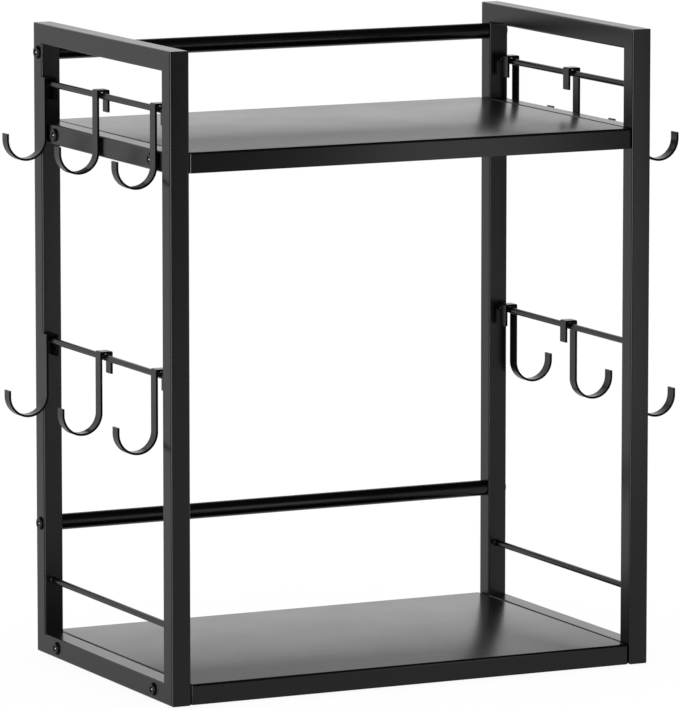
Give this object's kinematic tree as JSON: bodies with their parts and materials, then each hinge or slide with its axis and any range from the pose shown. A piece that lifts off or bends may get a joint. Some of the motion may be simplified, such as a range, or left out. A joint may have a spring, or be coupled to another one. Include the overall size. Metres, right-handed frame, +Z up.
{
  "type": "coffee station organizer",
  "caption": "Open two-tier countertop coffee station organizer in black metal, with square-tube side frames, sheet shelves, round rear rails and loose J-hooks on side rods.",
  "frame": {"origin": "centre of the footprint at the level of the worktop", "axes": "+X to the organizer's right as seen from the front, +Y to the back, +Z up"},
  "size_m": [0.4776, 0.258, 0.5],
  "materials": {
    "frame_black": "satin black powder coat",
    "shelf_black": "satin black powder coat on flat sheet",
    "rod_black": "satin black powder coat on thin round rod",
    "rail_black": "satin black powder coat on round tube",
    "hook_black": "satin black powder coat on flat strip",
    "screw_black": "black oxide, lightly oiled",
    "zinc_plated_steel": "zinc plated"
  },
  "bodies": {
    "frame": {"left_front_post": "frame_black", "left_rear_post": "frame_black", "left_top_rail": "frame_black", "left_bottom_rail": "frame_black", "left_shelf_rail": "frame_black", "left_upper_rod": "rod_black", "left_middle_rod": "rod_black", "left_lower_rod": "rod_black", "right_front_post": "frame_black", "right_rear_post": "frame_black", "right_top_rail": "frame_black", "right_bottom_rail": "frame_black", "right_shelf_rail": "frame_black", "right_upper_rod": "rod_black", "right_middle_rod": "rod_black", "right_lower_rod": "rod_black", "upper_shelf": "shelf_black", "lower_shelf": "shelf_black", "upper_shelf_weld_nuts": "zinc_plated_steel", "lower_shelf_weld_nuts": "zinc_plated_steel", "upper_rear_rail": "rail_black", "lower_rear_rail": "rail_black", "upper_rail_plugs": "zinc_plated_steel", "lower_rail_plugs": "zinc_plated_steel", "upper_shelf_screws": "screw_black", "lower_shelf_screws": "screw_black", "upper_rail_screws": "screw_black", "lower_rail_screws": "screw_black"},
    "left_upper_hook_rear": {"left_upper_hook_rear": "hook_black"},
    "left_upper_hook_centre": {"left_upper_hook_centre": "hook_black"},
    "left_upper_hook_front": {"left_upper_hook_front": "hook_black"},
    "left_middle_hook_rear": {"left_middle_hook_rear": "hook_black"},
    "left_middle_hook_centre": {"left_middle_hook_centre": "hook_black"},
    "left_middle_hook_front": {"left_middle_hook_front": "hook_black"},
    "right_upper_hook_rear": {"right_upper_hook_rear": "hook_black"},
    "right_upper_hook_centre": {"right_upper_hook_centre": "hook_black"},
    "right_upper_hook_front": {"right_upper_hook_front": "hook_black"},
    "right_middle_hook_rear": {"right_middle_hook_rear": "hook_black"},
    "right_middle_hook_centre": {"right_middle_hook_centre": "hook_black"},
    "right_middle_hook_front": {"right_middle_hook_front": "hook_black"}
  },
  "joints": [
    {"name": "left_upper_hook_rear_slide", "type": "slide", "parent": "frame", "child": "left_upper_hook_rear", "axis": [0, 1, 0], "range_m": [-0.0071, 0]},
    {"name": "left_upper_hook_centre_slide", "type": "slide", "parent": "frame", "child": "left_upper_hook_centre", "axis": [0, 1, 0], "range_m": [-0.0867, 0.0737]},
    {"name": "left_upper_hook_front_slide", "type": "slide", "parent": "frame", "child": "left_upper_hook_front", "axis": [0, 1, 0], "range_m": [-0.0071, 0]},
    {"name": "left_middle_hook_rear_slide", "type": "slide", "parent": "frame", "child": "left_middle_hook_rear", "axis": [0, 1, 0], "range_m": [-0.0471, 0.0006]},
    {"name": "left_middle_hook_centre_slide", "type": "slide", "parent": "frame", "child": "left_middle_hook_centre", "axis": [0, 1, 0], "range_m": [-0.0468, 0.0471]},
    {"name": "left_middle_hook_front_slide", "type": "slide", "parent": "frame", "child": "left_middle_hook_front", "axis": [0, 1, 0], "range_m": [-0.0072, 0.0468]},
    {"name": "right_upper_hook_rear_slide", "type": "slide", "parent": "frame", "child": "right_upper_hook_rear", "axis": [0, 1, 0], "range_m": [0, 0.0071]},
    {"name": "right_upper_hook_centre_slide", "type": "slide", "parent": "frame", "child": "right_upper_hook_centre", "axis": [0, 1, 0], "range_m": [-0.0762, 0.0842]},
    {"name": "right_upper_hook_front_slide", "type": "slide", "parent": "frame", "child": "right_upper_hook_front", "axis": [0, 1, 0], "range_m": [0, 0.0071]},
    {"name": "right_middle_hook_rear_slide", "type": "slide", "parent": "frame", "child": "right_middle_hook_rear", "axis": [0, 1, 0], "range_m": [-0.0469, 0.0051]},
    {"name": "right_middle_hook_centre_slide", "type": "slide", "parent": "frame", "child": "right_middle_hook_centre", "axis": [0, 1, 0], "range_m": [-0.0471, 0.0469]},
    {"name": "right_middle_hook_front_slide", "type": "slide", "parent": "frame", "child": "right_middle_hook_front", "axis": [0, 1, 0], "range_m": [-0.0026, 0.0471]}
  ]
}
